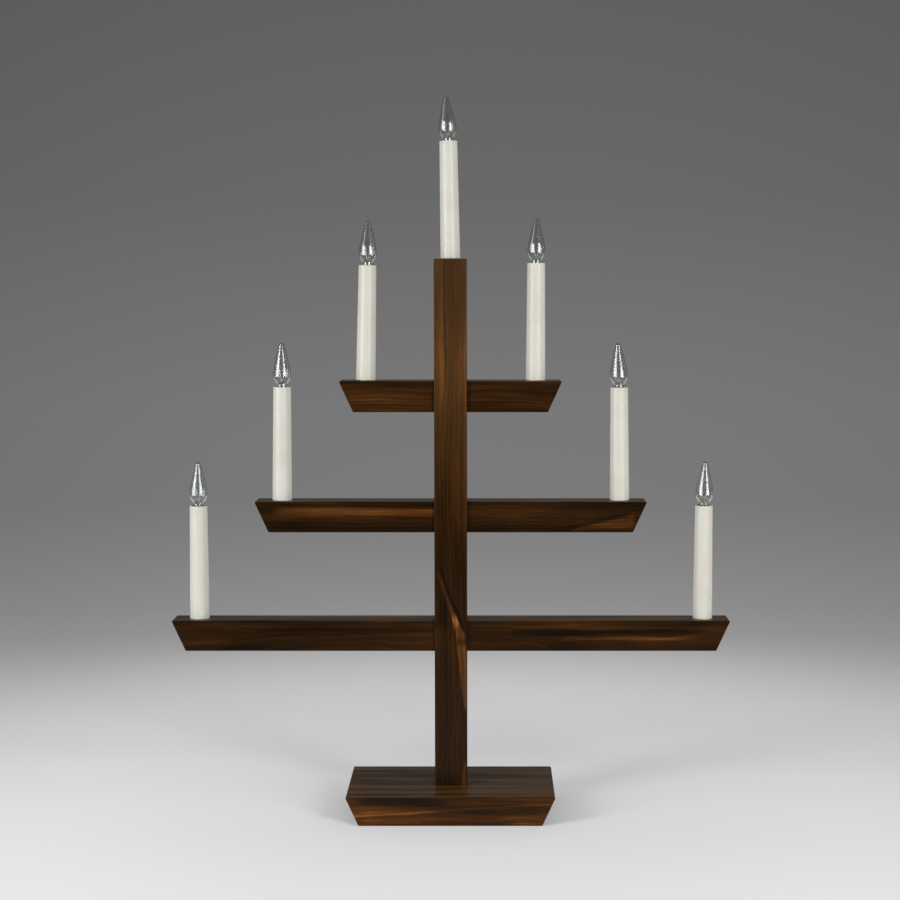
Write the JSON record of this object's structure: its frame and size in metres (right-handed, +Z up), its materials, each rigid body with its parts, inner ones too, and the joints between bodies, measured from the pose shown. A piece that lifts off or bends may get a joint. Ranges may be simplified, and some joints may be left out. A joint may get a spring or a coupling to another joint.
{
  "type": "electric candelabra",
  "caption": "Stepped electric candelabra of stained wood: a post on a slant-ended base block, cross arms with slanting ends, and tall candle sleeves with clear screw-in flame bulbs.",
  "frame": {"origin": "middle of the base block's underside", "axes": "+Z up along the post, +X to the right along the cross arms, +Y to the back, where the leads lie"},
  "size_m": [0.483, 0.095, 0.6193],
  "materials": {
    "stained_wood": "dark brown stain under a satin varnish",
    "ivory_plastic": "ivory, soft gloss",
    "holder_plastic": "cream, moulded",
    "black_glass": "black insulating glass with a tin solder point",
    "brass": "bright rolled sheet",
    "clear_glass": "clear, thin blown glass",
    "filament_wire": "drawn wire on a glass stem",
    "lead_insulation": "dark brown insulation",
    "staple_steel": "zinc plated wire",
    "screw_steel": "yellow zinc plated"
  },
  "bodies": {
    "stand": {"base_block": "stained_wood", "post": "stained_wood", "lower_arm": "stained_wood", "middle_arm": "stained_wood", "upper_arm": "stained_wood", "sleeve_top": "ivory_plastic", "sleeve_upper_left": "ivory_plastic", "sleeve_upper_right": "ivory_plastic", "sleeve_middle_left": "ivory_plastic", "sleeve_middle_right": "ivory_plastic", "sleeve_lower_left": "ivory_plastic", "sleeve_lower_right": "ivory_plastic", "lampholder_top": "holder_plastic", "lampholder_upper_left": "holder_plastic", "lampholder_upper_right": "holder_plastic", "lampholder_middle_left": "holder_plastic", "lampholder_middle_right": "holder_plastic", "lampholder_lower_left": "holder_plastic", "lampholder_lower_right": "holder_plastic", "socket_shells": "brass", "socket_contacts": "brass", "foot_leads": "lead_insulation", "lower_leads": "lead_insulation", "upper_leads": "lead_insulation", "top_leads": "lead_insulation", "lead_staples": "staple_steel", "post_screws": "screw_steel"},
    "bulb_end_top": {"bulb_contact_top": "black_glass"},
    "bulb_top": {"bulb_cap_top": "brass", "bulb_glass_top": "clear_glass", "bulb_filament_top": "filament_wire"},
    "bulb_end_upper_left": {"bulb_contact_upper_left": "black_glass"},
    "bulb_upper_left": {"bulb_cap_upper_left": "brass", "bulb_glass_upper_left": "clear_glass", "bulb_filament_upper_left": "filament_wire"},
    "bulb_end_upper_right": {"bulb_contact_upper_right": "black_glass"},
    "bulb_upper_right": {"bulb_cap_upper_right": "brass", "bulb_glass_upper_right": "clear_glass", "bulb_filament_upper_right": "filament_wire"},
    "bulb_end_middle_left": {"bulb_contact_middle_left": "black_glass"},
    "bulb_middle_left": {"bulb_cap_middle_left": "brass", "bulb_glass_middle_left": "clear_glass", "bulb_filament_middle_left": "filament_wire"},
    "bulb_end_middle_right": {"bulb_contact_middle_right": "black_glass"},
    "bulb_middle_right": {"bulb_cap_middle_right": "brass", "bulb_glass_middle_right": "clear_glass", "bulb_filament_middle_right": "filament_wire"},
    "bulb_end_lower_left": {"bulb_contact_lower_left": "black_glass"},
    "bulb_lower_left": {"bulb_cap_lower_left": "brass", "bulb_glass_lower_left": "clear_glass", "bulb_filament_lower_left": "filament_wire"},
    "bulb_end_lower_right": {"bulb_contact_lower_right": "black_glass"},
    "bulb_lower_right": {"bulb_cap_lower_right": "brass", "bulb_glass_lower_right": "clear_glass", "bulb_filament_lower_right": "filament_wire"}
  },
  "joints": [
    {"name": "bulb_lift_top", "type": "slide", "parent": "stand", "child": "bulb_end_top", "axis": [-0.0157, 0, 0.9999], "range_m": [0, 0.0055]},
    {"name": "bulb_turn_top", "type": "hinge", "parent": "bulb_end_top", "child": "bulb_top", "pos_m": [0, 0, 0.48196], "axis": [-0.0157, 0, 0.9999], "range_deg": [0, 1080]},
    {"name": "bulb_lift_upper_left", "type": "slide", "parent": "stand", "child": "bulb_end_upper_left", "axis": [0.0218, 0, 0.9998], "range_m": [0, 0.0055]},
    {"name": "bulb_turn_upper_left", "type": "hinge", "parent": "bulb_end_upper_left", "child": "bulb_upper_left", "pos_m": [-0.073, 0.0015, 0.37831], "axis": [0.0218, 0, 0.9998], "range_deg": [0, 1080]},
    {"name": "bulb_lift_upper_right", "type": "slide", "parent": "stand", "child": "bulb_end_upper_right", "axis": [0.0026, 0, 1], "range_m": [0, 0.0055]},
    {"name": "bulb_turn_upper_right", "type": "hinge", "parent": "bulb_end_upper_right", "child": "bulb_upper_right", "pos_m": [0.073, 0.0015, 0.37815], "axis": [0.0026, 0, 1], "range_deg": [0, 1080]},
    {"name": "bulb_lift_middle_left", "type": "slide", "parent": "stand", "child": "bulb_end_middle_left", "axis": [0.0096, 0, 1], "range_m": [0, 0.0055]},
    {"name": "bulb_turn_middle_left", "type": "hinge", "parent": "bulb_end_middle_left", "child": "bulb_middle_left", "pos_m": [-0.146, 0.0015, 0.27451], "axis": [0.0096, 0, 1], "range_deg": [0, 1080]},
    {"name": "bulb_lift_middle_right", "type": "slide", "parent": "stand", "child": "bulb_end_middle_right", "axis": [-0.0096, 0, 1], "range_m": [0, 0.0055]},
    {"name": "bulb_turn_middle_right", "type": "hinge", "parent": "bulb_end_middle_right", "child": "bulb_middle_right", "pos_m": [0.146, 0.0015, 0.27451], "axis": [-0.0096, 0, 1], "range_deg": [0, 1080]},
    {"name": "bulb_lift_lower_left", "type": "slide", "parent": "stand", "child": "bulb_end_lower_left", "axis": [0.0035, 0, 1], "range_m": [0, 0.0055]},
    {"name": "bulb_turn_lower_left", "type": "hinge", "parent": "bulb_end_lower_left", "child": "bulb_lower_left", "pos_m": [-0.219, 0.0015, 0.17076], "axis": [0.0035, 0, 1], "range_deg": [0, 1080]},
    {"name": "bulb_lift_lower_right", "type": "slide", "parent": "stand", "child": "bulb_end_lower_right", "axis": [0.0017, 0, 1], "range_m": [0, 0.0055]},
    {"name": "bulb_turn_lower_right", "type": "hinge", "parent": "bulb_end_lower_right", "child": "bulb_lower_right", "pos_m": [0.219, 0.0015, 0.17074], "axis": [0.0017, 0, 1], "range_deg": [0, 1080]}
  ],
  "couplings": [
    {"joint": "bulb_lift_top", "follows": "bulb_turn_top", "m_per_rad": 0.00028871},
    {"joint": "bulb_lift_upper_left", "follows": "bulb_turn_upper_left", "m_per_rad": 0.00028871},
    {"joint": "bulb_lift_upper_right", "follows": "bulb_turn_upper_right", "m_per_rad": 0.00028871},
    {"joint": "bulb_lift_middle_left", "follows": "bulb_turn_middle_left", "m_per_rad": 0.00028871},
    {"joint": "bulb_lift_middle_right", "follows": "bulb_turn_middle_right", "m_per_rad": 0.00028871},
    {"joint": "bulb_lift_lower_left", "follows": "bulb_turn_lower_left", "m_per_rad": 0.00028871},
    {"joint": "bulb_lift_lower_right", "follows": "bulb_turn_lower_right", "m_per_rad": 0.00028871}
  ]
}
